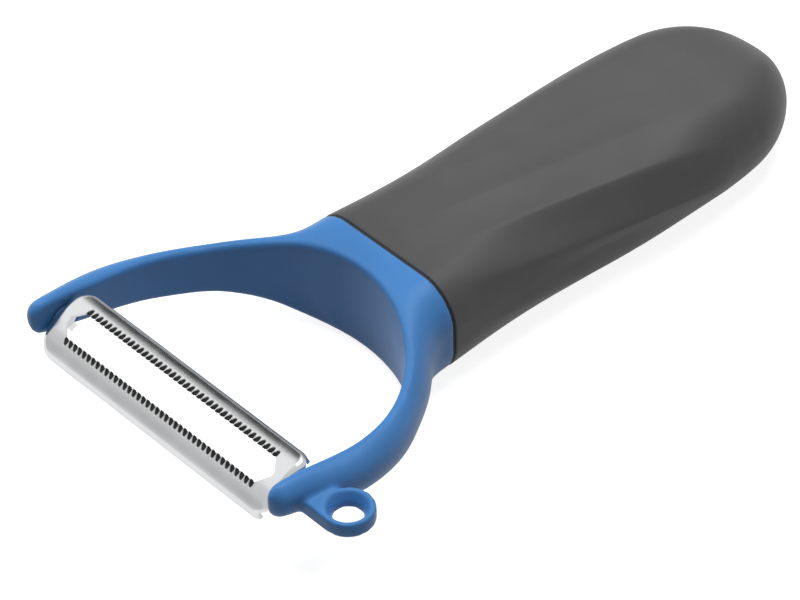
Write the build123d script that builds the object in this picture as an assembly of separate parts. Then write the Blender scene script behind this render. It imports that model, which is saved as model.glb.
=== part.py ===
from build123d import *
import math
import os

# Y-shaped vegetable peeler: a moulded fork, a swivelling double-edged blade and a soft grip.
# Millimetres. +Y runs along the handle to its round end, +X across to the side with the loop, +Z up.
# The origin is the centre of the small flat under the handle, on which the peeler lies.

# Main places
pivot_to_origin = 94.0        # along the handle, from the blade's pivot axis to the origin
pivot_to_seam = 49.3          # from the pivot axis to the joint between fork and grip
pivot_to_end = 145.9          # from the pivot axis to the handle's round end
pivot_height = 14.3           # pivot axis above the table

# Handle form
seam_width = 36.6             # handle at the seam, across
handle_width = 39.0           # handle where it is widest
handle_height = 20.8          # handle, underside to top
seam_corner = 8.2             # corner radius of the handle's section at the seam
handle_corner = 9.9           # corner radius where the handle is widest
end_length = 19.5             # length of the round end
rest_flat_depth = 0.15        # how deep the resting flat is cut into the underside

# Grip and core
grip_wall = 2.4               # soft grip, moulded over the core
core_wall = 2.2               # rigid core under the grip
shadow_gap = 0.4              # groove between the fork's collar and the grip
scoop_width = 9.4             # long shallow scoops that run slantwise over the grip
scoop_depth = 0.5
scoop_length = 84.0
scoop_turn = 11.0             # degrees between a scoop and the handle's axis
scoop_centre = 82.0           # middle of the scoops, from the pivot axis

# Fork
arm_width = 6.1               # across each arm, where the fork is widest
arm_sag = 4.2                 # how far the arms' top sags below a line from the handle's top to the tips'
tip_low = 12.7                # underside of the tips above the table
tip_height = 7.1
blade_end_gap = 0.3           # between each end of the blade and the fork
opening_depth = 43.4          # pivot axis to the bottom of the opening
opening_round_start = 11.0    # where the opening's straight sides turn into its elliptical end
nose_reach = 6.3              # front of the tips from the pivot axis
nose_round_share = 0.36       # rounding of the nose, as a share of the tips' height
inner_round = 1.1             # edge between the opening's wall and the fork's faces
plug_length = 16.0            # stretch of the fork that fits the core's mouth
plug_clearance = 0.1
spine_length = 66.0           # rib that runs on inside the core
spine_width = 17.0
spine_height = 9.0
spine_web = 2.4
spine_rib_count = 5

# Loop on the near tip
loop_bore = 5.4               # inside diameter at the underside
loop_mouth = 8.0              # the hole opens out to this at the top
loop_land = 1.1               # height of the straight part of the hole
loop_wall = 0.85              # beside the mouth
loop_height = 3.2
loop_reach = 4.0              # loop's centre beyond the arms' widest
loop_back = 3.6               # loop's centre behind the pivot axis
loop_rear = 0.6               # how far the loop's neck runs behind its centre
loop_edge_round = 0.25

# Blade
blade_length = 61.6
blade_front = 7.4             # long edges of the blade from its pivot axis
blade_rear = 6.5
sheet = 0.55                  # thickness of the steel
arch_radius = 11.7            # the sheet is arched across
blade_rise = 2.3              # tooth tips above the pivot axis, square to the blade
slot_half_width = 2.7
skirt_drop = 0.9              # long sides are turned down to this far below the pivot axis
end_rise = 0.9                # the ends are turned down to this far above the axis
blade_corner = 3.4            # corner radius seen from above
bend_round = 1.7              # radius where the sheet turns down
slot_nose = 1.9               # length of the slot's pointed ends
slot_nose_width = 0.9
slot_margin = 5.1             # blade beyond the last tooth at each end
tooth_pitch = 1.25
flute_radius = 0.55
flute_depth = 0.62            # at the cutting edge
flute_length = 2.3
blade_tilt = 28.0             # degrees, handle side up, as it lies against its stops
ear_radius = 2.5              # end plate round the pivot pin
tail_reach = 3.8              # stop tail's end from the pivot axis
tail_width = 1.6

# Pivot pins and stops
pin_radius = 1.1
pin_running_fit = 0.07
pin_depth = 2.8               # how far the pin stands in the fork
pin_end_gap = 0.3
pin_head_radius = 1.7
pin_head = 0.6
stop_radius = 0.6
stop_circle = 3.2             # stop's centre from the pivot axis
stop_gap = 0.05
stop_reach = 1.0              # how far the stop stands out of the fork

overrun = 1.0

os.makedirs("parts", exist_ok=True)

pivot_y = -pivot_to_origin
seam_y = pivot_y + pivot_to_seam
end_y = pivot_y + pivot_to_end
mid_z = handle_height / 2 - rest_flat_depth
top_z = mid_z + handle_height / 2
under_z = mid_z - handle_height / 2
end_start_y = end_y - end_length
nose_y = pivot_y - nose_reach
opening_half_width = blade_length / 2 + blade_end_gap
fork_half_width = opening_half_width + arm_width
tooth_count = math.floor((blade_length - 2 * slot_margin) / tooth_pitch)
blade_width = blade_front + blade_rear
blade_shift = (blade_rear - blade_front) / 2
row_middle = slot_half_width + flute_length / 2
crown_rise = blade_rise + arch_radius - math.sqrt(arch_radius ** 2 - row_middle ** 2)

# Handle sections from the seam to the round end, as shares: how far along, how far the width
# has grown from the seam's to the widest, and how far the corners have.
handle_shares = (
    (0.0, 0.0, 0.0),
    (0.1, -0.12, 0.45),
    (0.2, -0.12, 0.8),
    (0.31, 0.04, 1.0),
    (0.43, 0.34, 1.0),
    (0.55, 0.68, 1.0),
    (0.66, 0.92, 1.0),
    (0.77, 1.0, 1.0),
    (0.87, 0.8, 1.0),
    (0.94, 0.45, 1.0),
    (1.0, 0.08, 1.0),
)

# The scoops, as shares: place across the handle from its middle plane, and depth.
scoop_shares = ((-0.59, 1.3), (-0.1, 1.0), (0.39, 1.0), (0.8, 1.4))

# The round end's sections, as shares of its length. Its width falls along a curve of this power,
# and its height as that width raised to the flatter share.
end_shares = (0.16, 0.32, 0.48, 0.63, 0.76, 0.87, 0.95, 0.99)
end_power_share = 1.8
end_flat_share = 0.8

# Fork sections from the seam to the nose, as shares: how far along, how far the width has
# grown from the seam's to the widest, how far the top sags, and how far the underside has
# risen to the tips'.
fork_shares = (
    (0.0, 0.0, 0.0, 0.0),
    (0.06, 0.015, 0.07, 0.01),
    (0.119, 0.095, 0.26, 0.07),
    (0.178, 0.25, 0.53, 0.19),
    (0.249, 0.426, 0.74, 0.29),
    (0.334, 0.595, 0.86, 0.37),
    (0.433, 0.765, 0.91, 0.44),
    (0.556, 0.9, 0.83, 0.55),
    (0.68, 0.965, 0.66, 0.67),
    (0.787, 0.95, 0.4, 0.78),
    (0.9, 0.9, 0.12, 0.91),
    (1.0, 0.84, 0.0, 1.0),
)


def rounded_section(y, half_width, low, high, corner):
    """Rounded rectangle square to the handle, between two heights."""
    plane = Plane(origin=(0, y, (low + high) / 2), x_dir=(1, 0, 0), z_dir=(0, 1, 0))
    most = 0.96 * min(half_width, (high - low) / 2)
    return plane * RectangleRounded(2 * half_width, high - low, min(corner, most))


def handle_form(inset, start_y):
    """The handle's outer form, drawn in by inset all round."""
    sections = []
    for along_share, grown_share, round_share in handle_shares:
        y = start_y + (end_start_y - start_y) * along_share
        half_width = (seam_width + (handle_width - seam_width) * grown_share) / 2 - inset
        corner = seam_corner + (handle_corner - seam_corner) * round_share - inset
        sections.append((y, half_width, handle_height / 2 - inset, corner))
    half_width, half_height, corner = sections[-1][1:]
    for end_share in end_shares:
        y = end_start_y + (end_length - inset) * end_share
        shrink = (1 - end_share ** end_power_share) ** (1 / end_power_share)
        flatter = shrink ** end_flat_share
        sections.append((y, half_width * shrink, half_height * flatter, corner * flatter))
    return loft([rounded_section(y, w, mid_z - h, mid_z + h, c) for y, w, h, c in sections])


def scoop_tools():
    """Spindles laid along the grip's top and corners, one for each scoop."""
    half_width = (seam_width + handle_width) / 4
    straight = half_width - handle_corner
    tools = []
    for place_share, depth_share in scoop_shares:
        depth = scoop_depth * depth_share
        radius = (scoop_width ** 2 / 4 + scoop_depth ** 2) / (2 * scoop_depth)
        half_length = scoop_length / 2
        bulge = ThreePointArc((radius - depth, -half_length), (radius, 0), (radius - depth, half_length))
        back = Polyline((radius - depth, half_length), (0, half_length), (0, -half_length),
                        (radius - depth, -half_length))
        spindle = revolve(make_face([bulge.edge(), *back.edges()]), Axis.Y)
        place = half_width * place_share
        lean = math.asin(max(0, abs(place) - straight) / handle_corner)
        reach = radius - depth + handle_corner
        x = math.copysign(min(abs(place), straight) + reach * math.sin(lean), place)
        z = mid_z + handle_height / 2 - handle_corner + reach * math.cos(lean)
        turn = math.copysign(math.degrees(lean), place)
        tools.append(Pos(x, pivot_y + scoop_centre, z) * Rot(0, turn, 0) * Rot(0, 0, -scoop_turn) * spindle)
    return tools


def below_table():
    """Block under the table, which cuts the resting flat."""
    length = pivot_to_end + nose_reach + 2 * overrun
    return Pos(0, (nose_y + end_y) / 2, -handle_height / 2) * Box(2 * fork_half_width, length, handle_height)


def handle_pieces():
    """The soft grip with its scoops and rest flat, and the hollow core inside it."""
    outer = handle_form(0, seam_y)
    core_outer = handle_form(grip_wall, seam_y)
    core_inner = handle_form(grip_wall + core_wall, seam_y)
    core = core_outer - core_inner
    grip = outer - core_outer
    cut = Pos(0, seam_y, mid_z) * Box(handle_width + overrun, 2 * shadow_gap, handle_height + overrun)
    return grip - cut - below_table() - scoop_tools(), core


def fork_body():
    """Collar and arms: sections that widen and thin towards the tips, less the opening."""
    length = seam_y - nose_y
    sections = []
    for along_share, width_share, sag_share, rise_share in fork_shares:
        half_width = seam_width / 2 + (fork_half_width - seam_width / 2) * width_share
        high = top_z + (tip_low + tip_height - top_z) * along_share - arm_sag * sag_share
        low = under_z + (tip_low - under_z) * rise_share
        sections.append(rounded_section(seam_y - length * along_share, half_width, low, high, seam_corner))
    whole = loft(sections)
    nose = whole.faces().sort_by(Axis.Y)[0]
    whole = fillet(nose.edges(), tip_height * nose_round_share)
    round_y = pivot_y + opening_round_start
    front_y = nose_y - overrun
    outline = Pos(0, round_y) * Ellipse(opening_half_width, opening_depth - opening_round_start)
    outline += Pos(0, (round_y + front_y) / 2) * Rectangle(2 * opening_half_width, round_y - front_y)
    cut = extrude(Pos(0, 0, -overrun) * outline, handle_height + 2 * overrun)
    body = whole - cut
    return fillet(new_edges(whole, cut, combined=body), inner_round)


def plug_and_spine():
    """Hollow plug that fits the core's mouth, and the ribbed spine that runs on inside the core."""
    inset = grip_wall + core_wall + plug_clearance
    keep = Pos(0, seam_y, mid_z) * Box(handle_width, 2 * plug_length, handle_height)
    plug = (handle_form(inset, seam_y) - handle_form(inset + core_wall, seam_y)) & keep
    root_y = seam_y - overrun
    length = spine_length + overrun
    centre = Pos(0, root_y + length / 2, mid_z)
    spine = centre * Box(spine_width, length, spine_web)
    spine += centre * Box(spine_web, length, spine_height)
    rib_pitch = (spine_length - plug_length) / spine_rib_count
    for number in range(1, spine_rib_count + 1):
        rib_y = seam_y + plug_length + rib_pitch * number - spine_web / 2
        spine += Pos(0, rib_y, mid_z) * Box(spine_width, spine_web, spine_height)
    web = Pos(0, seam_y + plug_length / 2, mid_z) * Box(
        seam_width - 2 * (inset + core_wall / 2), plug_length, spine_web
    )
    return plug + spine + web


def loop():
    """Hanging loop on the near tip: a ring whose front side runs straight into the tip."""
    centre_x = fork_half_width + loop_reach
    centre_y = pivot_y + loop_back
    radius = loop_mouth / 2 + loop_wall
    root_x = centre_x - radius - 2 * loop_wall
    neck = radius + loop_rear
    outline = Pos(centre_x, centre_y) * Circle(radius)
    outline += Pos((root_x + centre_x) / 2, centre_y - radius + neck / 2) * Rectangle(centre_x - root_x, neck)
    low = pivot_height - loop_height / 2
    ring = extrude(Pos(0, 0, low) * outline, loop_height)
    ring = fillet(ring.edges().filter_by(Axis.Z, reverse=True), loop_edge_round)
    taper_height = loop_height - loop_land
    taper = Cone(loop_bore / 2, loop_mouth / 2, taper_height)
    ring -= Pos(centre_x, centre_y, pivot_height) * Cylinder(loop_bore / 2, 2 * loop_height)
    return ring - Pos(centre_x, centre_y, low + loop_land + taper_height / 2) * taper


def stop_turn():
    """Degrees from straight down to a stop, so that the tail meets it at the blade's tilt."""
    spacing = stop_radius + tail_width / 2 + stop_gap
    return blade_tilt + math.degrees(math.asin(spacing / stop_circle))


def fork_piece():
    """The fork with its plug, spine and loop, the pins' blind holes and the blade's stops."""
    body = fork_body() + plug_and_spine() + loop() - below_table()
    hole_depth = pin_depth + pin_end_gap
    for side in (-1, 1):
        inner_x = side * opening_half_width
        hole_x = inner_x + side * (hole_depth - overrun) / 2
        hole = across(pin_radius + pin_running_fit, hole_depth + overrun)
        body -= Pos(hole_x, pivot_y, pivot_height) * hole
        for turn in (-stop_turn(), stop_turn()):
            lug = across(stop_radius, stop_reach + overrun)
            lug_x = inner_x + side * (overrun - stop_reach) / 2
            lug_y = pivot_y + stop_circle * math.sin(math.radians(turn))
            lug_z = pivot_height - stop_circle * math.cos(math.radians(turn))
            body += Pos(lug_x, lug_y, lug_z) * lug
    return body


def across(radius, length):
    """Cylinder that lies across the peeler, along X."""
    return Cylinder(radius, length, rotation=(0, 90, 0))


def arch_height(place):
    """Top of the blade's arched sheet above the pivot axis, at a place across the blade."""
    return crown_rise - arch_radius + math.sqrt(arch_radius ** 2 - place ** 2)


def tray_form(inset):
    """Closed block under the blade's arch, drawn in by inset, with its top edges rounded."""
    length = blade_length - 2 * inset
    width = blade_width - 2 * inset
    plan = RectangleRounded(length, width, blade_corner - inset)
    block = extrude(Pos(0, blade_shift, -skirt_drop) * plan, crown_rise + skirt_drop + overrun)
    roof = Pos(0, 0, crown_rise - arch_radius) * across(arch_radius - inset, length + 2 * overrun)
    block = block & roof
    top = block.faces().sort_by(Axis.Z)[-1]
    return fillet(top.edges(), bend_round - inset)


def slot_outline():
    """The slot with its two pointed ends."""
    full = tooth_count * tooth_pitch / 2
    tip = full + slot_nose
    half = slot_half_width
    nose = slot_nose_width / 2
    corners = [(full, half), (tip, nose), (tip, -nose), (full, -half)]
    mirrored = [(-x, -y) for x, y in corners]
    return make_face(Polyline(*corners, *mirrored, close=True).edges())


def flutes():
    """Round flutes ground into both edges of the slot, which leave the pointed teeth between."""
    end = slot_half_width + flute_length
    start_height = arch_height(slot_half_width) - flute_depth
    end_height = arch_height(end)
    slope = math.atan2(start_height - end_height, flute_length)
    length = 2 * flute_length
    tools = []
    for side in (-1, 1):
        y = side * (slot_half_width - flute_radius * math.sin(slope))
        z = start_height + flute_radius * math.cos(slope)
        tool = Cylinder(flute_radius, length, rotation=(90 + side * math.degrees(slope), 0, 0))
        for number in range(tooth_count):
            x = (number - (tooth_count - 1) / 2) * tooth_pitch
            tools.append(Pos(x, y, z) * tool)
    return tools


def ear(side):
    """End plate round the pivot, with the stop tail, in the blade's own position."""
    outline = Circle(ear_radius)
    outline += Pos(end_rise, 0) * Rectangle(2 * end_rise, 2 * ear_radius)
    outline += Pos(-tail_reach / 2, 0) * Rectangle(tail_reach, tail_width)
    outer_x = side * blade_length / 2
    plane = Plane(origin=(outer_x - side * sheet / 2, 0, 0), x_dir=(0, 0, 1), z_dir=(1, 0, 0))
    return extrude(plane * outline, sheet / 2, both=True)


def blade_piece():
    """The pressed blade, tilted about its pivot as it lies against the stops."""
    hollow = tray_form(sheet) + Pos(0, blade_shift, -skirt_drop - sheet) * Box(
        blade_length - 2 * sheet - 2 * blade_corner, blade_width - 2 * sheet, 2 * sheet
    )
    tray = tray_form(0) - hollow
    for side in (-1, 1):
        end_x = side * (blade_length / 2 - bend_round)
        low = Pos(end_x + side * overrun, 0, end_rise - blade_width / 2)
        tray -= low * Box(2 * overrun, 2 * blade_width, blade_width)
    tray -= extrude(Pos(0, 0, -skirt_drop) * slot_outline(), blade_width)
    tray = tray - flutes()
    tray = tray + ear(-1) + ear(1) - across(pin_radius, blade_length + overrun)
    return Pos(0, pivot_y, pivot_height) * Rot(blade_tilt, 0, 0) * tray


def pin_piece(side):
    """Pivot pin riveted in the blade's ear, with its head inside the blade."""
    inner_x = blade_length / 2 - sheet
    outer_x = opening_half_width + pin_depth
    shank = Pos(side * (inner_x + outer_x) / 2, pivot_y, pivot_height) * across(pin_radius, outer_x - inner_x)
    head_x = side * (inner_x - pin_head / 2)
    return shank + Pos(head_x, pivot_y, pivot_height) * across(pin_head_radius, pin_head)


pieces = {
    "fork_frame": fork_piece(),
    "blade": blade_piece(),
    "left_pivot_pin": pin_piece(-1),
    "right_pivot_pin": pin_piece(1),
}
pieces["soft_grip"], pieces["handle_core"] = handle_pieces()
for name, piece in pieces.items():
    export_step(piece, f"parts/{name}.step")
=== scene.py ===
"""Y-shaped vegetable peeler: its moulded fork, soft scooped grip, serrated blade and pivot pins.

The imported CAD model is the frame. Each sub-assembly is a class that dresses its CAD nodes or makes
the surfaces that replace them, and the studio is the last class. Lengths are in metres.
"""

import logging
import math
from dataclasses import dataclass
from enum import Enum
from typing import Any, Mapping, Optional, Sequence, Union

import bmesh
import bpy
import numpy as np
from mathutils import Matrix, Vector


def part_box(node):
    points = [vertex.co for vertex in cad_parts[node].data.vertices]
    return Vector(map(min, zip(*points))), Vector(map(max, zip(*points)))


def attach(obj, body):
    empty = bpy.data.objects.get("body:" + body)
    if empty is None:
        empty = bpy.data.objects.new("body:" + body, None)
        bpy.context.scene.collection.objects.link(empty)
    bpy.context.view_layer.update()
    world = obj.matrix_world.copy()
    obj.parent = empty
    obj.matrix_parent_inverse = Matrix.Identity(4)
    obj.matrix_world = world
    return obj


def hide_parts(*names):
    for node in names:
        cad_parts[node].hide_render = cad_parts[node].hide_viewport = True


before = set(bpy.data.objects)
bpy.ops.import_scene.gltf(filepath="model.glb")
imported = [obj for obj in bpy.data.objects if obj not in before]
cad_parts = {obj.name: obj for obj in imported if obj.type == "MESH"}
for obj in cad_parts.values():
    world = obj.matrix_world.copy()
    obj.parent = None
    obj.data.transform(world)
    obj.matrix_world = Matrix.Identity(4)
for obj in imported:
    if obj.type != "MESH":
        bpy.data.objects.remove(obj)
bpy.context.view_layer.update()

MM = 0.001
PIVOT = (0.0, -94.0 * MM, 14.3 * MM)
BLADE_TILT = math.radians(28.0)
log = logging.getLogger("peeler")

# Numbers of a Mix node's colour inputs and output, whose names repeat among its sockets.
MIX_SHARE, MIX_FIRST, MIX_SECOND, MIX_RESULT = 0, 6, 7, 2


class Body(Enum):
    """The CAD bodies that pieces ride on."""

    HANDLE = "handle"
    BLADE = "swivel_blade"


class Wire:
    """A node's output, which Python's arithmetic combines with numbers and other outputs."""

    def __init__(self, paint: "Paint", socket: bpy.types.NodeSocket) -> None:
        """Keeps the socket and the material that it belongs to."""
        self.paint = paint
        self.socket = socket

    def __add__(self, other: "Value") -> "Wire":
        """Sum with a number or another output."""
        return self.paint.sum_up("ADD", self, other)

    __radd__ = __add__

    def __mul__(self, other: "Value") -> "Wire":
        """Product with a number or another output."""
        return self.paint.sum_up("MULTIPLY", self, other)

    __rmul__ = __mul__

    def __sub__(self, other: "Value") -> "Wire":
        """Difference, this output first."""
        return self.paint.sum_up("SUBTRACT", self, other)

    def __rsub__(self, other: "Value") -> "Wire":
        """Difference, the other value first."""
        return self.paint.sum_up("SUBTRACT", other, self)

    def __abs__(self) -> "Wire":
        """Size without its sign."""
        return self.paint.sum_up("ABSOLUTE", self, 0.0)


Value = Union[Wire, float]
Span = tuple[float, float]
Point = tuple[float, float, float]
Colour = tuple[float, float, float]

BLUE: Colour = (0.05, 0.19, 0.465)
CORE_BLACK: Colour = (0.05, 0.05, 0.055)
GRIP_GREY: Colour = (0.063, 0.063, 0.0645)
BLADE_STEEL: Colour = (0.83, 0.835, 0.845)
PIN_STEEL: Colour = (0.7, 0.705, 0.72)


def scaled(colour: Colour, share: float) -> Colour:
    """The colour times a share."""
    red, green, blue = colour
    return red * share, green * share, blue * share


class Paint:
    """One material and the nodes that make it."""

    def __init__(self, name: str) -> None:
        """Starts a material with its Principled shader.

        Args:
            name: the material's name, in a maker's plain words.
        """
        self.material = bpy.data.materials.new(name)
        self.material.use_nodes = True
        self.tree = self.material.node_tree
        self.shader = self.tree.nodes["Principled BSDF"]

    def feed(self, socket: bpy.types.NodeSocket, value: Any) -> None:
        """Links an output to a socket, or sets the socket's own value.

        Args:
            socket: the input to fill.
            value: a Wire, a number, a colour or a vector.
        """
        if isinstance(value, Wire):
            self.tree.links.new(socket, value.socket)
        else:
            socket.default_value = value

    def node(self, kind: str, settings: Optional[Mapping[str, Any]] = None,
             inputs: Optional[Mapping[Union[str, int], Any]] = None,
             output: Union[str, int] = 0) -> Wire:
        """Adds a node.

        Args:
            kind: the node's type name.
            settings: its own settings, set first.
            inputs: values or outputs for its sockets, by name or number.
            output: the output to hand back.

        Returns:
            The chosen output.
        """
        made = self.tree.nodes.new(kind)
        for key, value in (settings or {}).items():
            setattr(made, key, value)
        for key, value in (inputs or {}).items():
            self.feed(made.inputs[key], value)
        return Wire(self, made.outputs[output])

    def sum_up(self, operation: str, first: Value, second: Value) -> Wire:
        """Math node on two values, numbers or outputs."""
        return self.node("ShaderNodeMath", {"operation": operation}, {0: first, 1: second})

    def place(self, scale: Point = (1.0, 1.0, 1.0)) -> Wire:
        """Object coordinates in metres, stretched along each axis."""
        point = self.node("ShaderNodeTexCoord", output="Object")
        return self.node("ShaderNodeMapping", {"vector_type": "POINT"}, {"Vector": point, "Scale": scale})

    def noise(self, size: float, detail: float = 2.0, point: Optional[Wire] = None) -> Wire:
        """Noise whose grains are about this size in metres, from 0 to 1."""
        return self.node("ShaderNodeTexNoise", {"noise_dimensions": "3D"},
                         {"Vector": point or self.place(), "Scale": 1.0 / size, "Detail": detail})

    def spread(self, value: Wire, span: Span, onto: Span = (0.0, 1.0)) -> Wire:
        """Maps a span of a value smoothly onto another, and holds it beyond the ends.

        Args:
            value: the output to map.
            span: its low and high ends.
            onto: what the two ends become.

        Returns:
            The mapped output.
        """
        ends = {"From Min": span[0], "From Max": span[1], "To Min": onto[0], "To Max": onto[1]}
        smooth = {"interpolation_type": "SMOOTHSTEP"}
        return self.node("ShaderNodeMapRange", smooth, {"Value": value, **ends})

    def blend(self, share: Value, first: Union[Wire, Colour], second: Union[Wire, Colour]) -> Wire:
        """Mixes two colours.

        Args:
            share: how much of the second, from 0 to 1.
            first: a colour or an output.
            second: a colour or an output.

        Returns:
            The mixed colour.
        """
        first = first if isinstance(first, Wire) else (*first, 1.0)
        second = second if isinstance(second, Wire) else (*second, 1.0)
        return self.node("ShaderNodeMix", {"data_type": "RGBA"},
                         {MIX_SHARE: share, MIX_FIRST: first, MIX_SECOND: second}, MIX_RESULT)

    def relief(self, height: Wire, depth: float, strength: float = 1.0) -> None:
        """Feeds the shader's Normal with a bump of this depth in metres."""
        bump = self.node("ShaderNodeBump", {}, {"Height": height, "Distance": depth, "Strength": strength})
        self.feed(self.shader.inputs["Normal"], bump)

    def set(self, **values: Any) -> None:
        """Sets or links the Principled shader's sockets, named with underscores for spaces."""
        for key, value in values.items():
            self.feed(self.shader.inputs[key.replace("_", " ")], value)


@dataclass(frozen=True)
class MouldedPlastic:
    """Satin moulded plastic: a faint cloudiness, and the fine grain that the mould leaves."""

    name: str
    colour: Colour
    roughness: float = 0.4
    cloud: float = 0.06
    cloud_size: float = 18 * MM
    cloud_span: Span = (0.3, 0.7)
    wear_size: float = 4 * MM
    wear_span: Span = (0.35, 0.75)
    wear_swing: float = 0.05
    grain_size: float = 0.22 * MM
    grain_depth: float = 0.006 * MM
    grain_swing: float = 0.04
    ior: float = 1.46
    specular: float = 0.42

    def make(self) -> bpy.types.Material:
        """Builds the material.

        Returns:
            The finished material.
        """
        paint = Paint(self.name)
        cloud = paint.spread(paint.noise(self.cloud_size), self.cloud_span)
        darker = scaled(self.colour, 1 - self.cloud)
        lighter = scaled(self.colour, 1 + self.cloud)
        grain = paint.noise(self.grain_size, detail=3.0)
        wear = paint.spread(paint.noise(self.wear_size, detail=4.0), self.wear_span)
        swing = self.wear_swing * (wear - 0.5) + self.grain_swing * (grain - 0.5)
        paint.set(
            Base_Color=paint.blend(cloud, darker, lighter),
            Roughness=self.roughness + swing,
            IOR=self.ior,
            Specular_IOR_Level=self.specular,
        )
        paint.relief(grain, self.grain_depth)
        return paint.material


@dataclass(frozen=True)
class SoftTouch:
    """Soft-touch grip rubber: dark, dry and velvety, with a fine sandy skin."""

    name: str
    colour: Colour
    roughness: float = 0.44
    cloud: float = 0.07
    skin_size: float = 0.3 * MM
    skin_span: Span = (0.35, 0.65)
    skin_share: float = 0.4
    skin_depth: float = 0.02 * MM
    skin_strength: float = 0.8
    skin_swing: float = 0.05
    handling_size: float = 14 * MM
    handling_span: Span = (0.3, 0.7)
    handling_share: float = 0.6
    handling_swing: float = 0.06
    ior: float = 1.46

    def make(self) -> bpy.types.Material:
        """Builds the material.

        Returns:
            The finished material.
        """
        paint = Paint(self.name)
        skin = paint.noise(self.skin_size, detail=4.0)
        handling = paint.spread(paint.noise(self.handling_size, detail=3.0), self.handling_span)
        tone = self.handling_share * handling + self.skin_share * paint.spread(skin, self.skin_span)
        darker = scaled(self.colour, 1 - self.cloud)
        lighter = scaled(self.colour, 1 + self.cloud)
        swing = self.handling_swing * (0.5 - handling) + self.skin_swing * (skin - 0.5)
        paint.set(
            Base_Color=paint.blend(tone, darker, lighter),
            Roughness=self.roughness + swing,
            IOR=self.ior,
        )
        paint.relief(skin, self.skin_depth, self.skin_strength)
        return paint.material


@dataclass(frozen=True)
class RolledSteel:
    """Pressed stainless strip: faint rolling lines along its length, a soft satin shine, and painted shade
    that darkens its ground flutes.
    """

    name: str
    colour: Colour
    roughness: float = 0.2
    line_length: float = 14 * MM
    line_width: float = 0.09 * MM
    line_depth: float = 0.0012 * MM
    line_swing: float = 0.1
    haze_size: float = 5 * MM
    haze_span: Span = (0.3, 0.7)
    haze_swing: float = 0.05
    darkest: float = 0.93
    # Painted shade: the share of the steel's colour left in the ground flutes, standing in for their dark
    # reflections.
    flute_painted_shade: float = 0.05
    flute_depth: Span = (0.03 * MM, 0.17 * MM)
    flute_facing: Span = (-0.05, 0.1)
    flute_dullness: float = 0.15
    arch_radius: float = 11.7 * MM
    crown: float = 2.95 * MM
    row_inner: Span = (2.3 * MM, 2.4 * MM)
    row_outer: Span = (5.2 * MM, 5.4 * MM)
    row_end: Span = (25.7 * MM, 25.9 * MM)

    def flute_share_with_painted_shade(self, paint: Paint) -> Wire:
        """Share of ground flute at a point of the blade. It drives the flutes' real dullness and the
        painted shade that darkens them.

        The point is turned back into the blade's own frame. The arch is a circle across the
        blade: its height is the root of the radius squared less the place across squared, set so
        that its top is the blade's crown. A flute is where the steel lies under the arch, faces
        upwards and is within the two rows of teeth.

        Args:
            paint: the material.

        Returns:
            The share, from 0 on the rolled face to 1 in a flute.
        """
        up_y, up_z = -math.sin(BLADE_TILT), math.cos(BLADE_TILT)
        point = paint.node("ShaderNodeTexCoord", output="Object")
        facing = paint.node("ShaderNodeTexCoord", output="Normal")
        parts = paint.tree.nodes.new("ShaderNodeSeparateXYZ")
        paint.feed(parts.inputs[0], point)
        x, y, z = (Wire(paint, output) for output in parts.outputs)
        y = y - PIVOT[1]
        z = z - PIVOT[2]
        across = y * up_z - z * up_y
        height = z * up_z + y * up_y
        bow = paint.sum_up("POWER", self.arch_radius ** 2 - across * across, 0.5)
        arch = bow + (self.crown - self.arch_radius)
        up = paint.node("ShaderNodeVectorMath", {"operation": "DOT_PRODUCT"},
                        {0: facing, 1: (0.0, up_y, up_z)}, output="Value")
        below = paint.spread(arch - height, self.flute_depth)
        upward = paint.spread(up, self.flute_facing)
        within = paint.spread(abs(x), self.row_end, onto=(1.0, 0.0))
        inner = paint.spread(abs(across), self.row_inner)
        outer = paint.spread(abs(across), self.row_outer, onto=(1.0, 0.0))
        return below * upward * within * inner * outer

    def make(self) -> bpy.types.Material:
        """Builds the material.

        Returns:
            The finished material.
        """
        paint = Paint(self.name)
        along = paint.place((1 / self.line_length, 1 / self.line_width, 1 / self.line_width))
        lines = paint.noise(1.0, detail=3.0, point=along)
        haze = paint.spread(paint.noise(self.haze_size, detail=3.0), self.haze_span)
        rolled = paint.blend(0.5 * lines + 0.5 * haze, scaled(self.colour, self.darkest), self.colour)
        flute_and_painted_shade = self.flute_share_with_painted_shade(paint)
        swing = self.line_swing * (lines - 0.5) + self.haze_swing * (haze - 0.5)
        paint.set(
            # Painted shade: the flutes' base colour is darkened nearly to black to stand in for the dark
            # reflections in their hollows. Their extra roughness is real.
            Base_Color=paint.blend(flute_and_painted_shade, rolled, scaled(self.colour, self.flute_painted_shade)),
            Metallic=1.0,
            Roughness=self.roughness + swing + self.flute_dullness * flute_and_painted_shade,
        )
        paint.relief(lines, self.line_depth)
        return paint.material


@dataclass(frozen=True)
class TurnedSteel:
    """Turned pins: fine rings across the bar and a brighter, smoother skin."""

    name: str
    colour: Colour
    roughness: float = 0.28
    ring_pitch: float = 0.12 * MM
    ring_reach: float = 25 * MM
    ring_depth: float = 0.002 * MM
    ring_swing: float = 0.12
    darkest: float = 0.9

    def make(self) -> bpy.types.Material:
        """Builds the material.

        Returns:
            The finished material.
        """
        paint = Paint(self.name)
        across = paint.place((1 / self.ring_pitch, 1 / self.ring_reach, 1 / self.ring_reach))
        rings = paint.noise(1.0, detail=1.0, point=across)
        paint.set(
            Base_Color=paint.blend(rings, scaled(self.colour, self.darkest), self.colour),
            Metallic=1.0,
            Roughness=self.roughness + self.ring_swing * (rings - 0.5),
        )
        paint.relief(rings, self.ring_depth)
        return paint.material


def dress(piece: bpy.types.Object, finish: bpy.types.Material) -> None:
    """Puts one material in all of a piece's slots.

    Args:
        piece: a new piece or a CAD node's object.
        finish: the material.
    """
    if not piece.data.materials:
        piece.data.materials.append(finish)
    for number in range(len(piece.data.materials)):
        piece.data.materials[number] = finish


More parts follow.
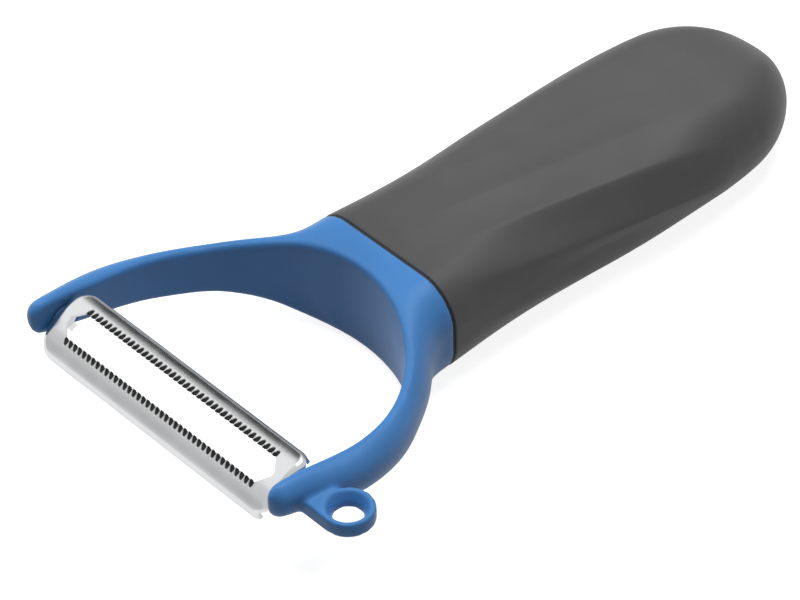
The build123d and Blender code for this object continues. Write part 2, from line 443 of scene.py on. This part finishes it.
def new_piece(name: str, points: np.ndarray, quads: np.ndarray, merge: float) -> bpy.types.Object:
    """Makes a mesh object from whole arrays, merges its poles and seams and turns it outwards.

    Args:
        name: the piece's name.
        points: one row of x, y, z for each vertex.
        quads: one row of four vertex numbers for each face.
        merge: points nearer than this become one.

    Returns:
        The new object, at the origin, smooth shaded.
    """
    mesh = bpy.data.meshes.new(name)
    mesh.from_pydata(points.tolist(), [], quads.tolist())
    shape = bmesh.new()
    shape.from_mesh(mesh)
    bmesh.ops.remove_doubles(shape, verts=shape.verts, dist=merge)
    bmesh.ops.recalc_face_normals(shape, faces=shape.faces)
    shape.to_mesh(mesh)
    shape.free()
    mesh.shade_smooth()
    piece = bpy.data.objects.new(name, mesh)
    bpy.context.scene.collection.objects.link(piece)
    return piece


def settle(piece: bpy.types.Object) -> None:
    """Applies a piece's modifiers, so that its mesh holds its final form.

    Args:
        piece: the piece, which keeps its name and place.
    """
    finished = piece.evaluated_get(bpy.context.evaluated_depsgraph_get())
    mesh = bpy.data.meshes.new_from_object(finished)
    piece.modifiers.clear()
    piece.data = mesh


def stage_sheet(name: str, corners: Sequence[Sequence[float]],
                finish: bpy.types.Material) -> bpy.types.Object:
    """Makes a flat sheet of the set, such as the floor, which isn't part of the peeler.

    Args:
        name: the sheet's name.
        corners: its four corners in turn.
        finish: its material.

    Returns:
        The sheet.
    """
    mesh = bpy.data.meshes.new(name)
    mesh.from_pydata([tuple(corner) for corner in corners], [], [(0, 1, 2, 3)])
    sheet = bpy.data.objects.new(name, mesh)
    bpy.context.scene.collection.objects.link(sheet)
    dress(sheet, finish)
    return sheet


def grid_quads(rows: int, columns: int) -> np.ndarray:
    """Faces of a grid that closes on itself from the last column to the first.

    Args:
        rows: rings of points.
        columns: points in a ring.

    Returns:
        One row of four vertex numbers for each face.
    """
    row, column = np.meshgrid(np.arange(rows - 1), np.arange(columns), indexing="ij")
    beside = (column + 1) % columns
    start = row * columns
    beyond = start + columns
    corners = (start + column, start + beside, beyond + beside, beyond + column)
    return np.stack(corners, axis=-1).reshape(-1, 4)


def curve_through(knots: np.ndarray, values: np.ndarray, places: np.ndarray) -> np.ndarray:
    """Natural cubic curve through values at knots, read at places.

    Between two knots the curve is a cubic whose second slopes, zero at both ends, come from the
    usual tridiagonal system that makes its slope continuous.

    Args:
        knots: increasing places of the values.
        values: the values there.
        places: where to read the curve.

    Returns:
        The curve's values.
    """
    step = np.diff(knots)
    slope = np.diff(values) / step
    system = np.diag(2 * (step[:-1] + step[1:])) + np.diag(step[1:-1], 1) + np.diag(step[1:-1], -1)
    bend = np.concatenate([[0.0], np.linalg.solve(system, 6 * np.diff(slope)), [0.0]])
    left = np.clip(np.searchsorted(knots, places) - 1, 0, len(step) - 1)
    before = (knots[left + 1] - places) / step[left]
    after = 1 - before
    straight = before * values[left] + after * values[left + 1]
    bowed = (before ** 3 - before) * bend[left] + (after ** 3 - after) * bend[left + 1]
    return straight + bowed * step[left] ** 2 / 6


@dataclass
class Grip:
    """The soft grip: one closed skin, scooped along its top and corners."""

    node: str = "soft_grip"
    seam_width: float = 36.6 * MM
    widest: float = 39.0 * MM
    seam_corner: float = 8.2 * MM
    corner: float = 9.9 * MM
    end_length: float = 19.5 * MM
    end_trim: float = 0.195 * MM
    seam_groove: float = 0.4 * MM
    wall: float = 2.4 * MM
    rim_radius: float = 0.35 * MM
    tongue: float = 0.3 * MM
    seam_depth: float = 0.6 * MM
    rest_flat: float = 0.15 * MM
    scoop_depth: float = 0.95 * MM
    scoop_slope: float = 0.194
    scoop_centre: float = -12.0 * MM
    scoop_middle: float = -8.0 * MM
    scoop_length: float = 66.0 * MM
    scoop_pitch: float = 9.2 * MM
    left_pitch: float = 11.3 * MM
    left_ridge: float = -6.5 * MM
    ridge_round: float = 0.06
    scoop_span: Span = (-0.4, 4.2)
    span_fade: float = 0.9
    side_share: float = 0.22
    scoop_reach: float = 1.2 * MM
    end_round: float = 1.3
    cap_length: float = 21.5 * MM
    end_flat: float = 0.85
    corner_limit: float = 0.96
    side_sine: float = 0.999
    merge: float = 0.002 * MM
    rows: int = 190
    end_rows: int = 40
    inner_rows: int = 12
    rim_rows: int = 6
    edge_points: int = 38
    corner_points: int = 32
    along_shares: tuple[float, ...] = (0.0, 0.1, 0.2, 0.31, 0.43, 0.55, 0.66, 0.77, 0.87, 0.94, 1.0)
    grown_shares: tuple[float, ...] = (0.0, -0.12, -0.12, 0.04, 0.34, 0.68, 0.92, 1.0, 0.8, 0.45, 0.08)
    round_shares: tuple[float, ...] = (0.0, 0.45, 0.8, 1.0, 1.0, 1.0, 1.0, 1.0, 1.0, 1.0, 1.0)

    def __post_init__(self) -> None:
        """Takes the grip's place from its CAD node."""
        low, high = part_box(self.node)
        self.front = low.y
        self.rear = high.y
        self.seam = self.front - self.seam_groove
        self.rear_nominal = self.rear + self.end_trim
        self.cap_start = self.rear - self.cap_length
        self.high = high.z
        self.low = low.z - self.rest_flat
        self.middle = (self.high + self.low) / 2

    def ring(self) -> tuple[np.ndarray, np.ndarray, np.ndarray]:
        """Round of one section, once from the middle of the top and back to it.

        A point of a rounded rectangle is its edge share times the straight half-length, plus
        the corner radius times the outward direction, and only one of the two moves at a time.

        Returns:
            The outward direction's angle from the top, and the edge shares across and up.
        """
        quarter = math.pi / 2
        edge = np.linspace(-1, 1, self.edge_points, endpoint=False)
        turn = np.linspace(0, quarter, self.corner_points, endpoint=False)
        still = np.ones_like(turn)
        flat = np.ones_like(edge)
        angle = np.concatenate([
            flat * 0 * quarter, turn,
            flat * 1 * quarter, 1 * quarter + turn,
            flat * 2 * quarter, 2 * quarter + turn,
            flat * 3 * quarter, 3 * quarter + turn,
        ])
        across = np.concatenate([edge, still, flat, still, -edge, -still, -flat, -still])
        up = np.concatenate([flat, still, -edge, -still, -flat, -still, edge, still])
        return angle, across, up

    def scoops(self, arc: np.ndarray, y: np.ndarray) -> np.ndarray:
        """Depth of the scoops.

        Across the grip the depth follows the size of a sine, rounded a little at the ridges, of
        the arc length from the top's middle less the slant, and along it a parabola to zero.
        Past the first and last of the span's ridges it fades to the side share.

        Args:
            arc: arc length round the section from the top's middle.
            y: place along the handle.

        Returns:
            How far the skin is drawn in.
        """
        beyond = arc - self.scoop_slope * (y - self.scoop_centre) - self.left_ridge
        phase = beyond / np.where(beyond < 0, self.left_pitch, self.scoop_pitch)
        wave = np.sin(math.pi * phase)
        hollow = np.sqrt(wave ** 2 + self.ridge_round ** 2) - self.ridge_round
        left, right = self.scoop_span
        past_left = np.clip((phase - left) / self.span_fade, 0, 1)
        before_right = np.clip((right - phase) / self.span_fade, 0, 1)
        sides = self.side_share + (1 - self.side_share) * past_left * before_right
        along = np.clip(1 - ((y - self.scoop_middle) / (self.scoop_length / 2)) ** 2, 0, 1)
        return self.scoop_depth * hollow * sides * along

    def arc_length(self, angle: np.ndarray, across: np.ndarray, up: np.ndarray,
                   straight_across: np.ndarray, straight_up: np.ndarray,
                   corner: np.ndarray) -> np.ndarray:
        """Arc length round a section from the middle of the top, below zero on the left.

        It is the part of the top that is passed, the corner's radius times the angle turned, and
        the part of the side that is passed.

        Args:
            angle: outward direction's angle from the top.
            across: edge share across.
            up: edge share up.
            straight_across: half the top's straight length.
            straight_up: half the side's straight length.
            corner: the corner's radius.

        Returns:
            The arc length of each point.
        """
        signed = np.where(angle > math.pi, angle - 2 * math.pi, angle)
        on_top = signed == 0
        on_side = np.abs(np.sin(angle)) > self.side_sine
        under = np.abs(signed) > math.pi / 2
        way = np.sign(np.where(on_top, across, signed))
        top_share = np.where(on_top, np.abs(across), 1)
        side_share = np.where(on_side, 1 - up, np.where(under, 2, 0))
        return way * (top_share * straight_across + np.abs(signed) * corner + side_share * straight_up)

    def skin(self, y: np.ndarray, inset: np.ndarray, shrink: np.ndarray) -> np.ndarray:
        """Rings of points at places along the handle.

        Width, corner radius and height follow curves along the handle. Towards the pole of the
        round end, the rounded rectangle turns into the ellipse that touches its four sides. The
        scoops then draw each point in along its outward direction.

        Args:
            y: place of each ring.
            inset: how far each ring is drawn in from the outside.
            shrink: share of the full width at each ring of the round end.

        Returns:
            Rings by points by x, y, z.
        """
        angle, across, up = self.ring()
        end_start = self.rear_nominal - self.end_length
        share = np.clip((y - self.seam) / (end_start - self.seam), 0, 1)
        along = np.array(self.along_shares)
        grown = curve_through(along, np.array(self.grown_shares), share)
        rounded = curve_through(along, np.array(self.round_shares), share)
        half_width = (self.seam_width + (self.widest - self.seam_width) * grown) / 2 - inset
        half_height = (self.high - self.low) / 2 - inset
        corner = self.seam_corner + (self.corner - self.seam_corner) * rounded - inset
        flat = shrink ** self.end_flat
        half_width = (half_width * shrink)[:, None]
        half_height = (half_height * flat)[:, None]
        widest_corner = self.corner_limit * np.minimum(half_width, half_height)
        corner = np.minimum((corner * flat)[:, None], widest_corner)
        straight_across = half_width - corner
        straight_up = half_height - corner
        x = across * straight_across + corner * np.sin(angle)
        z = up * straight_up + corner * np.cos(angle)
        around = np.arctan2(x * half_height, z * half_width)
        oval = ((1 - shrink) ** self.end_round)[:, None]
        x = x + oval * (half_width * np.sin(around) - x)
        z = z + oval * (half_height * np.cos(around) - z)
        arc = self.arc_length(angle, across, up, straight_across, straight_up, corner)
        depth = self.scoops(arc, y[:, None]) * np.clip(1 - inset / self.scoop_reach, 0, 1)[:, None]
        x = x - depth * np.sin(angle)
        z = z - depth * np.cos(angle)
        z = np.maximum(self.middle + z, self.low + self.rest_flat)
        return np.stack([x, np.broadcast_to(y[:, None], x.shape), z], axis=-1)

    def build(self, finish: bpy.types.Material) -> bpy.types.Object:
        """Makes the grip's closed skin, ring by ring: inside wall, tongue, rim, outside.

        Along the round end the place goes as a sine and the width as its cosine, so that the
        rings crowd evenly round the pole. The rim is a quarter circle. A tongue below it reaches
        almost to the collar, so that the seam is a shallow groove.

        Args:
            finish: the grip's material.

        Returns:
            The grip.
        """
        dome = np.linspace(0, math.pi / 2, self.end_rows)
        straight = np.linspace(self.front + self.rim_radius, self.cap_start, self.rows, endpoint=False)
        outside = np.concatenate([straight, self.cap_start + self.cap_length * np.sin(dome)])
        outside_shrink = np.concatenate([np.ones(self.rows), np.cos(dome)])
        rim = np.linspace(0, math.pi / 2, self.rim_rows, endpoint=False)[::-1]
        rim_y = self.front + self.rim_radius * (1 - np.sin(rim))
        rim_inset = self.rim_radius * (1 - np.cos(rim))
        tongue_y = self.front - self.tongue * np.array([1.0, 1.0, 0.0])
        tongue_inset = np.array([self.wall, self.seam_depth, self.seam_depth])
        inner_end = self.cap_start + (self.cap_length - self.wall) * np.sin(dome[::-1])
        inner_straight = np.linspace(self.cap_start, self.front, self.inner_rows)[1:]
        inside = np.concatenate([inner_end, inner_straight])
        inside_shrink = np.concatenate([np.cos(dome[::-1]), np.ones(len(inner_straight))])
        y = np.concatenate([inside, tongue_y, rim_y, outside])
        inside_inset = np.full(len(inside), self.wall)
        inset = np.concatenate([inside_inset, tongue_inset, rim_inset, np.zeros(len(outside))])
        shrink = np.concatenate([inside_shrink, np.ones(len(tongue_y) + len(rim)), outside_shrink])
        points = self.skin(y, inset, np.maximum(shrink, 0))
        rows, columns = points.shape[:2]
        piece = new_piece("grip_skin", points.reshape(-1, 3), grid_quads(rows, columns), self.merge)
        dress(piece, finish)
        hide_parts(self.node)
        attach(piece, Body.HANDLE.value)
        log.info("grip_skin: %d faces", len(piece.data.polygons))
        return piece


@dataclass
class Fork:
    """The blue moulding with its loop, and the hidden core behind it."""

    node: str = "fork_frame"
    core: str = "handle_core"
    seam: float = -44.7 * MM
    stub: float = 6.0 * MM
    weld: float = 0.002 * MM
    cut_reach: float = 0.0002 * MM
    cell: float = 0.4 * MM
    smoothing: int = 8
    smooth_share: float = 0.5

    def build(self, finish: bpy.types.Material, core_finish: bpy.types.Material) -> None:
        """Makes the soft-edged moulding from the CAD form, and dresses the core.

        The CAD form is copied, cut behind the seam, where the grip hides it, and closed. Cells
        even out its surface, and smoothing then rounds its edges as a mould does.

        Args:
            finish: the fork's material.
            core_finish: the core's material.
        """
        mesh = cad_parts[self.node].data.copy()
        shape = bmesh.new()
        shape.from_mesh(mesh)
        bmesh.ops.remove_doubles(shape, verts=shape.verts, dist=self.weld)
        everything = [*shape.verts, *shape.edges, *shape.faces]
        cut = bmesh.ops.bisect_plane(shape, geom=everything, dist=self.cut_reach, clear_outer=True,
                                     plane_co=(0.0, self.seam + self.stub, 0.0), plane_no=(0.0, 1.0, 0.0))
        rim = [part for part in cut["geom_cut"] if isinstance(part, bmesh.types.BMEdge)]
        bmesh.ops.triangle_fill(shape, edges=rim, use_beauty=True)
        shape.to_mesh(mesh)
        shape.free()
        piece = bpy.data.objects.new("fork_moulding", mesh)
        bpy.context.scene.collection.objects.link(piece)
        cells = piece.modifiers.new("cells", "REMESH")
        cells.mode = "VOXEL"
        cells.voxel_size = self.cell
        soft = piece.modifiers.new("soft", "SMOOTH")
        soft.iterations = self.smoothing
        soft.factor = self.smooth_share
        settle(piece)
        piece.data.shade_smooth()
        dress(piece, finish)
        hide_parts(self.node)
        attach(piece, Body.HANDLE.value)
        dress(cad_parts[self.core], core_finish)
        log.info("fork_moulding: %d faces", len(piece.data.polygons))


@dataclass
class Blade:
    """The pressed, serrated blade and the pins that it swings on."""

    node: str = "blade"
    pins: tuple[str, ...] = ("left_pivot_pin", "right_pivot_pin")

    def build(self, finish: bpy.types.Material, pin_finish: bpy.types.Material) -> None:
        """Dresses the blade and its pins.

        Args:
            finish: the blade's material.
            pin_finish: the pins' material.
        """
        dress(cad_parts[self.node], finish)
        for pin in self.pins:
            dress(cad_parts[pin], pin_finish)
        log.info("%s and %d pins dressed, on %s", self.node, len(self.pins), Body.BLADE.value)


@dataclass(frozen=True)
class Softbox:
    """One rectangular lamp, aimed at a point and not seen in reflections."""

    name: str
    place: Point
    aim: Point
    size: Span
    power: float

    def build(self) -> None:
        """Makes the lamp."""
        data = bpy.data.lights.new(self.name, "AREA")
        data.shape = "RECTANGLE"
        data.size, data.size_y = self.size
        data.energy = self.power
        lamp = bpy.data.objects.new(self.name, data)
        bpy.context.scene.collection.objects.link(lamp)
        lamp.location = self.place
        lamp.rotation_euler = (Vector(self.aim) - Vector(self.place)).to_track_quat("-Z", "Y").to_euler()
        lamp.visible_glossy = False


class CardUse(Enum):
    """What a card beside the set is for."""

    REFLECTED = "it shows in reflections alone"
    SHADING = "it shades the set alone"


@dataclass(frozen=True)
class Card:
    """One matt card beside the set, which the camera doesn't see.

    The place is its middle, the size its width and height, and the shade how pale it is, by its
    own light in reflections. It faces the aim, or the blade's pivot if its width runs level along
    the blade.
    """

    name: str
    place: Point
    size: Span
    shade: float
    use: CardUse = CardUse.REFLECTED
    along_blade: bool = False
    aim: Point = (0.0, -60.0 * MM, 15.0 * MM)
    stock: float = 0.02

    def facing(self) -> Matrix:
        """Turn that makes the card face what it is for.

        Returns:
            A matrix whose columns are the card's width, height and front.
        """
        if not self.along_blade:
            return (Vector(self.aim) - Vector(self.place)).to_track_quat("Z", "Y").to_matrix()
        towards = Vector(PIVOT) - Vector(self.place)
        front = Vector((0.0, towards.y, towards.z)).normalized()
        level = Vector((1.0, 0.0, 0.0))
        return Matrix((level, front.cross(level), front)).transposed()

    def build(self) -> None:
        """Makes the card."""
        facing = self.facing()
        width, height = self.size
        halves = ((-0.5, -0.5), (0.5, -0.5), (0.5, 0.5), (-0.5, 0.5))
        corners = [Vector(self.place) + facing @ Vector((x * width, y * height, 0.0)) for x, y in halves]
        reflected = self.use is CardUse.REFLECTED
        paint = Paint(self.name)
        paint.set(
            Base_Color=(self.stock, self.stock, self.stock, 1.0),
            Roughness=1.0,
            Emission_Color=(self.shade, self.shade, self.shade, 1.0),
            Emission_Strength=float(reflected),
        )
        card = stage_sheet(self.name, corners, paint.material)
        card.visible_camera = False
        card.visible_glossy = reflected
        card.visible_diffuse = not reflected
        card.visible_shadow = not reflected


@dataclass(frozen=True)
class PhotoCamera:
    """The camera at the photograph's place."""

    azimuth: float = math.radians(48.73)
    elevation: float = math.radians(41.28)
    roll: float = math.radians(-1.50)
    distance: float = 774.72 * MM
    lens: float = 200.8
    sensor: float = 36.0
    near: float = 50.0 * MM
    far: float = 50.0
    pivot: Point = (0.0, -95.08 * MM, 16.33 * MM)
    right_of_pivot: float = 39.96 * MM
    above_pivot: float = 16.78 * MM

    def build(self) -> None:
        """Makes the camera and gives it to the scene."""
        back = Vector((
            math.sin(self.azimuth) * math.cos(self.elevation),
            -math.cos(self.azimuth) * math.cos(self.elevation),
            math.sin(self.elevation),
        ))
        level = Vector((math.cos(self.azimuth), math.sin(self.azimuth), 0.0))
        upright = back.cross(level)
        right = level * math.cos(self.roll) + upright * math.sin(self.roll)
        up = upright * math.cos(self.roll) - level * math.sin(self.roll)
        aim = Vector(self.pivot) + self.right_of_pivot * right + self.above_pivot * up
        data = bpy.data.cameras.new("camera")
        data.lens = self.lens
        data.sensor_width = self.sensor
        data.clip_start = self.near
        data.clip_end = self.far
        camera = bpy.data.objects.new("camera", data)
        bpy.context.scene.collection.objects.link(camera)
        turned = Matrix((right, up, back)).transposed().to_4x4()
        camera.matrix_world = Matrix.Translation(aim + self.distance * back) @ turned
        bpy.context.scene.camera = camera


@dataclass
class Studio:
    """White floor and surroundings, two soft lamps, and pale and dark cards for the gloss to show.

    Its lamps and cards give their places, sizes and powers. The floor lies a hair under the grip.
    """

    floor_size: float = 6.0
    floor_gap: float = 0.02 * MM
    floor_colour: float = 0.34
    floor_roughness: float = 0.9
    floor_glow: float = 0.88
    world_level: float = 0.17
    mirror_level: float = 0.6
    lamps: tuple[Softbox, ...] = (
        Softbox("top_softbox", (-0.1, 0.1, 1.0), (0.0, -0.03, 0.0), (0.6, 0.6), 10.5),
        Softbox("left_softbox", (-0.9, -0.15, 0.52), (0.0, -0.06, 0.0), (0.4, 0.4), 4.2),
    )
    cards: tuple[Card, ...] = (
        Card("front_card", (0.1, -0.75, 0.25), (1.3, 0.6), 0.02, CardUse.SHADING),
        Card("rear_card", (-0.6, 0.75, 0.25), (1.4, 0.45), 0.3),
        Card("blade_flag", (-0.0735, -0.0211, 0.1), (0.11, 0.059), 0.02, along_blade=True),
        Card("front_grey", (-0.6, -0.9, 0.15), (1.2, 0.25), 0.5),
        Card("top_white", (-0.52, -0.25, 0.8), (0.9, 0.8), 0.95),
        Card("back_box", (-0.62, 0.5, 0.76), (0.8, 0.5), 1.0),
        Card("gloss_box", (-0.05, 0.5, 0.95), (0.5, 0.7), 2.0),
    )

    def floor(self) -> None:
        """White floor: part of its white is its own for the camera, and the rest takes the shadow."""
        half = self.floor_size / 2
        corners = [(x * half, y * half, -self.floor_gap) for x, y in ((-1, -1), (1, -1), (1, 1), (-1, 1))]
        paint = Paint("white_floor")
        rays = paint.tree.nodes.new("ShaderNodeLightPath")
        seen = Wire(paint, rays.outputs["Is Camera Ray"])
        mirrored = Wire(paint, rays.outputs["Is Glossy Ray"])
        through = Wire(paint, rays.outputs["Is Transmission Ray"])
        paint.set(
            Base_Color=(self.floor_colour, self.floor_colour, self.floor_colour, 1.0),
            Roughness=self.floor_roughness,
            Emission_Color=(1.0, 1.0, 1.0, 1.0),
            Emission_Strength=self.floor_glow * (seen + self.mirror_level * mirrored + through),
        )
        stage_sheet("floor", corners, paint.material)

    def surroundings(self) -> None:
        """World: white to the camera, pale in reflections, and a plain level as the light it gives."""
        world = bpy.data.worlds.new("surroundings")
        bpy.context.scene.world = world
        world.use_nodes = True
        tree = world.node_tree
        rays = tree.nodes.new("ShaderNodeLightPath")
        clear = tree.nodes.new("ShaderNodeMath")
        clear.operation = "MAXIMUM"
        tree.links.new(clear.inputs[0], rays.outputs["Is Camera Ray"])
        tree.links.new(clear.inputs[1], rays.outputs["Is Transmission Ray"])
        shown = tree.nodes.new("ShaderNodeMath")
        shown.operation = "MULTIPLY_ADD"
        tree.links.new(shown.inputs[0], rays.outputs["Is Glossy Ray"])
        shown.inputs[1].default_value = self.mirror_level
        tree.links.new(shown.inputs[2], clear.outputs[0])
        level = tree.nodes.new("ShaderNodeMapRange")
        level.inputs["To Min"].default_value = self.world_level
        level.inputs["To Max"].default_value = 1.0
        tree.links.new(level.inputs["Value"], shown.outputs[0])
        background = tree.nodes["Background"]
        background.inputs["Color"].default_value = (1.0, 1.0, 1.0, 1.0)
        tree.links.new(background.inputs["Strength"], level.outputs["Result"])

    def build(self) -> None:
        """Makes the studio."""
        bpy.context.scene.view_settings.view_transform = "Standard"
        self.floor()
        self.surroundings()
        for lamp in self.lamps:
            lamp.build()
        for card in self.cards:
            card.build()
        PhotoCamera().build()


def main() -> None:
    """Builds each sub-assembly, then the studio."""
    logging.basicConfig(level=logging.INFO, format="%(name)s: %(message)s")
    blue = MouldedPlastic("blue_moulded_plastic", BLUE).make()
    core = MouldedPlastic("core_plastic", CORE_BLACK, roughness=0.5).make()
    rubber = SoftTouch("soft_touch_grip", GRIP_GREY).make()
    steel = RolledSteel("rolled_steel", BLADE_STEEL).make()
    pin = TurnedSteel("turned_steel", PIN_STEEL).make()
    Fork().build(blue, core)
    Grip().build(rubber)
    Blade().build(steel, pin)
    Studio().build()


if __name__ == "__main__":
    main()
